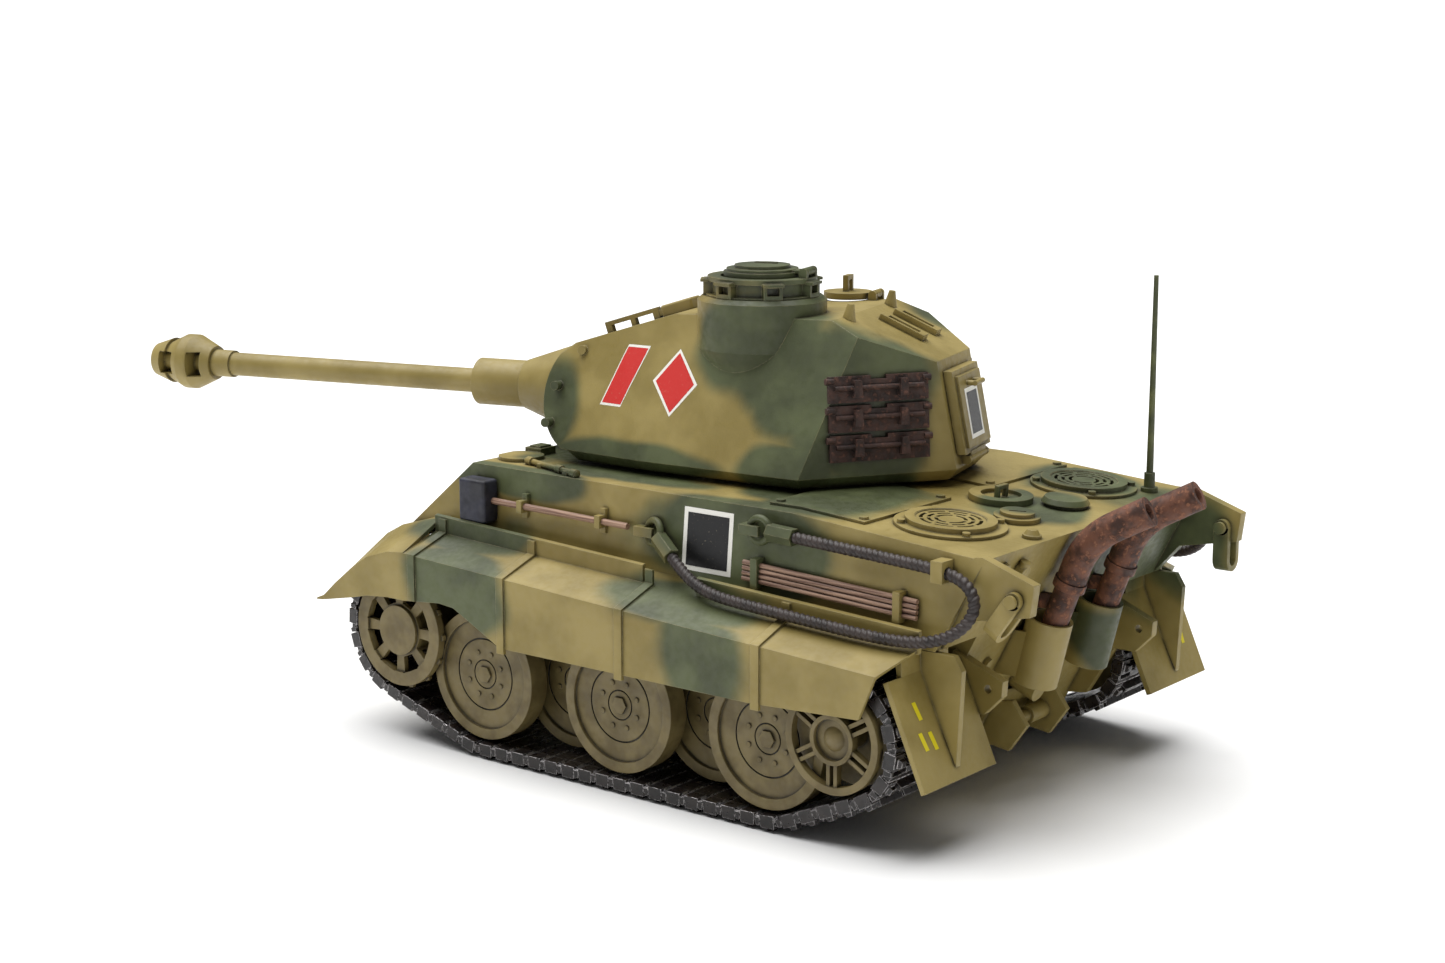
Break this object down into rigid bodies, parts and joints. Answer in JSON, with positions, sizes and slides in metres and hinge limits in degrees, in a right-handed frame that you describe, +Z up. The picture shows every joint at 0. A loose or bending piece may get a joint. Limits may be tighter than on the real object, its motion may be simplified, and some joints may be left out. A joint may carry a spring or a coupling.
{
  "type": "model tank",
  "caption": "Radio-controlled heavy tank model with turning turret, elevating gun, opening hatches, interleaved road wheels, tracks and stowed tools.",
  "frame": {"origin": "on the ground under the middle of the overall length, on the hull's centre plane", "axes": "+X to the front of the tank, +Y to its left, +Z up; the turret is stored turned 15 degrees to the left"},
  "size_m": [0.253, 0.117, 0.1056],
  "materials": {
    "camouflage": "satin sand paint with soft green patches over moulded plastic",
    "wheel_paint": "matt khaki paint over moulded plastic",
    "track_plastic": "dark moulded plastic dry-brushed with metal paint",
    "steel_pin": "bright drawn steel",
    "rust_paint": "matt rust-brown paint",
    "rope": "twisted dark cord",
    "tool_steel_paint": "blue-black satin paint",
    "wood_paint": "pinkish-brown paint imitating wood",
    "link_rust": "dark rust paint",
    "aerial_green": "olive paint",
    "motor_can": "plated steel can",
    "white_plastic": "unpainted moulded plastic",
    "black_plastic": "unpainted moulded plastic",
    "board_green": "coated circuit board",
    "cell_wrap": "shrink-wrapped sleeve"
  },
  "bodies": {
    "hull": {"lower_hull": "camouflage", "upper_hull": "camouflage", "left_fender": "camouflage", "right_fender": "camouflage", "deck_plates": "camouflage", "fan_grilles": "camouflage", "deck_caps": "camouflage", "bow_fittings": "camouflage", "exhaust_guards": "camouflage", "rear_flaps": "camouflage", "rear_fittings": "camouflage", "cable_ends": "camouflage", "side_clips": "camouflage", "battery_door": "camouflage", "left_track": "track_plastic", "left_tow_cable": "rope", "right_track": "track_plastic", "right_tow_cable": "rope", "inner_brackets": "black_plastic", "wheel_axles": "steel_pin", "hull_screws": "steel_pin", "exhaust_pipes": "rust_paint", "sledge_head": "tool_steel_paint", "sledge_handle": "wood_paint", "cleaning_rods": "wood_paint", "antenna": "aerial_green", "motors": "motor_can", "receiver_board": "board_green", "battery_pack": "cell_wrap"},
    "turret": {"turret_shell": "camouflage", "turret_base": "white_plastic", "cupola": "camouflage", "roof_fittings": "camouflage", "spare_links": "link_rust"},
    "gun": {"mantlet": "camouflage", "barrel": "camouflage", "muzzle_brake": "camouflage"},
    "cupola_hatch": {"cupola_hatch": "camouflage"},
    "loader_hatch": {"loader_hatch": "camouflage"},
    "rear_door": {"rear_door": "camouflage"},
    "turret_pinion": {"turret_pinion": "white_plastic"},
    "power_switch": {"power_switch": "black_plastic"},
    "left_sprocket": {"left_sprocket": "wheel_paint"},
    "left_wheel_1": {"left_wheel_1": "wheel_paint"},
    "left_wheel_2": {"left_wheel_2": "wheel_paint"},
    "left_wheel_3": {"left_wheel_3": "wheel_paint"},
    "left_wheel_4": {"left_wheel_4": "wheel_paint"},
    "left_wheel_5": {"left_wheel_5": "wheel_paint"},
    "left_idler": {"left_idler": "wheel_paint"},
    "left_pinion": {"left_pinion": "white_plastic"},
    "left_shackle": {"left_shackle": "camouflage"},
    "right_sprocket": {"right_sprocket": "wheel_paint"},
    "right_wheel_1": {"right_wheel_1": "wheel_paint"},
    "right_wheel_2": {"right_wheel_2": "wheel_paint"},
    "right_wheel_3": {"right_wheel_3": "wheel_paint"},
    "right_wheel_4": {"right_wheel_4": "wheel_paint"},
    "right_wheel_5": {"right_wheel_5": "wheel_paint"},
    "right_idler": {"right_idler": "wheel_paint"},
    "right_pinion": {"right_pinion": "white_plastic"},
    "right_shackle": {"right_shackle": "camouflage"}
  },
  "joints": [
    {"name": "turret_traverse", "type": "hinge", "parent": "hull", "child": "turret", "pos_m": [-0.03004, 0, 0.062], "axis": [0, 0, 1], "range_deg": [-150, 150]},
    {"name": "gun_elevation", "type": "hinge", "parent": "turret", "child": "gun", "pos_m": [0.00715, 0.00996, 0.0746], "axis": [0.2588, -0.9659, 0], "range_deg": [-5, 15]},
    {"name": "cupola_hatch_hinge", "type": "hinge", "parent": "turret", "child": "cupola_hatch", "pos_m": [-0.04306, 0.00686, 0.1042], "axis": [0.2588, -0.9659, 0], "range_deg": [0, 110]},
    {"name": "loader_hatch_hinge", "type": "hinge", "parent": "turret", "child": "loader_hatch", "pos_m": [-0.04019, -0.02239, 0.0966], "axis": [0.2588, -0.9659, 0], "range_deg": [0, 120]},
    {"name": "rear_door_hinge", "type": "hinge", "parent": "turret", "child": "rear_door", "pos_m": [-0.07361, -0.01167, 0.066], "axis": [0.2588, -0.9659, 0], "range_deg": [0, 90]},
    {"name": "turret_pinion_spin", "type": "hinge", "parent": "hull", "child": "turret_pinion", "pos_m": [-0.04804, 0, 0.055], "axis": [0, 0, 1], "range_deg": [-760, 760]},
    {"name": "power_switch_slide", "type": "slide", "parent": "hull", "child": "power_switch", "axis": [1, 0, 0], "range_m": [0, 0.003]},
    {"name": "left_sprocket_spin", "type": "hinge", "parent": "hull", "child": "left_sprocket", "pos_m": [0.03106, 0.045, 0.025], "axis": [0, 1, 0], "continuous": true},
    {"name": "left_wheel_1_spin", "type": "hinge", "parent": "hull", "child": "left_wheel_1", "pos_m": [0.00786, 0.051, 0.0184], "axis": [0, 1, 0], "continuous": true},
    {"name": "left_wheel_2_spin", "type": "hinge", "parent": "hull", "child": "left_wheel_2", "pos_m": [-0.01109, 0.044, 0.0184], "axis": [0, 1, 0], "continuous": true},
    {"name": "left_wheel_3_spin", "type": "hinge", "parent": "hull", "child": "left_wheel_3", "pos_m": [-0.03004, 0.051, 0.0184], "axis": [0, 1, 0], "continuous": true},
    {"name": "left_wheel_4_spin", "type": "hinge", "parent": "hull", "child": "left_wheel_4", "pos_m": [-0.04899, 0.044, 0.0184], "axis": [0, 1, 0], "continuous": true},
    {"name": "left_wheel_5_spin", "type": "hinge", "parent": "hull", "child": "left_wheel_5", "pos_m": [-0.06794, 0.051, 0.0184], "axis": [0, 1, 0], "continuous": true},
    {"name": "left_idler_spin", "type": "hinge", "parent": "hull", "child": "left_idler", "pos_m": [-0.08524, 0.046, 0.0221], "axis": [0, 1, 0], "continuous": true},
    {"name": "left_pinion_spin", "type": "hinge", "parent": "hull", "child": "left_pinion", "pos_m": [0.02026, 0.018, 0.025], "axis": [0, 1, 0], "continuous": true},
    {"name": "left_shackle_hinge", "type": "hinge", "parent": "hull", "child": "left_shackle", "pos_m": [-0.11704, 0.0413, 0.0516], "axis": [0, 1, 0], "range_deg": [-2, 125]},
    {"name": "right_sprocket_spin", "type": "hinge", "parent": "hull", "child": "right_sprocket", "pos_m": [0.03106, -0.045, 0.025], "axis": [0, 1, 0], "continuous": true},
    {"name": "right_wheel_1_spin", "type": "hinge", "parent": "hull", "child": "right_wheel_1", "pos_m": [0.00786, -0.051, 0.0184], "axis": [0, 1, 0], "continuous": true},
    {"name": "right_wheel_2_spin", "type": "hinge", "parent": "hull", "child": "right_wheel_2", "pos_m": [-0.01109, -0.044, 0.0184], "axis": [0, 1, 0], "continuous": true},
    {"name": "right_wheel_3_spin", "type": "hinge", "parent": "hull", "child": "right_wheel_3", "pos_m": [-0.03004, -0.051, 0.0184], "axis": [0, 1, 0], "continuous": true},
    {"name": "right_wheel_4_spin", "type": "hinge", "parent": "hull", "child": "right_wheel_4", "pos_m": [-0.04899, -0.044, 0.0184], "axis": [0, 1, 0], "continuous": true},
    {"name": "right_wheel_5_spin", "type": "hinge", "parent": "hull", "child": "right_wheel_5", "pos_m": [-0.06794, -0.051, 0.0184], "axis": [0, 1, 0], "continuous": true},
    {"name": "right_idler_spin", "type": "hinge", "parent": "hull", "child": "right_idler", "pos_m": [-0.08524, -0.046, 0.0221], "axis": [0, 1, 0], "continuous": true},
    {"name": "right_pinion_spin", "type": "hinge", "parent": "hull", "child": "right_pinion", "pos_m": [0.02026, -0.018, 0.025], "axis": [0, 1, 0], "continuous": true},
    {"name": "right_shackle_hinge", "type": "hinge", "parent": "hull", "child": "right_shackle", "pos_m": [-0.11704, -0.0413, 0.0516], "axis": [0, 1, 0], "range_deg": [-37, 90]}
  ],
  "couplings": [
    {"joint": "turret_pinion_spin", "follows": "turret_traverse", "ratio": -5},
    {"joint": "left_wheel_1_spin", "follows": "left_sprocket_spin", "ratio": 0.91667},
    {"joint": "left_wheel_2_spin", "follows": "left_sprocket_spin", "ratio": 0.91667},
    {"joint": "left_wheel_3_spin", "follows": "left_sprocket_spin", "ratio": 0.91667},
    {"joint": "left_wheel_4_spin", "follows": "left_sprocket_spin", "ratio": 0.91667},
    {"joint": "left_wheel_5_spin", "follows": "left_sprocket_spin", "ratio": 0.91667},
    {"joint": "left_idler_spin", "follows": "left_sprocket_spin", "ratio": 1.1892},
    {"joint": "left_pinion_spin", "follows": "left_sprocket_spin", "ratio": -2},
    {"joint": "right_wheel_1_spin", "follows": "right_sprocket_spin", "ratio": 0.91667},
    {"joint": "right_wheel_2_spin", "follows": "right_sprocket_spin", "ratio": 0.91667},
    {"joint": "right_wheel_3_spin", "follows": "right_sprocket_spin", "ratio": 0.91667},
    {"joint": "right_wheel_4_spin", "follows": "right_sprocket_spin", "ratio": 0.91667},
    {"joint": "right_wheel_5_spin", "follows": "right_sprocket_spin", "ratio": 0.91667},
    {"joint": "right_idler_spin", "follows": "right_sprocket_spin", "ratio": 1.1892},
    {"joint": "right_pinion_spin", "follows": "right_sprocket_spin", "ratio": -2}
  ]
}
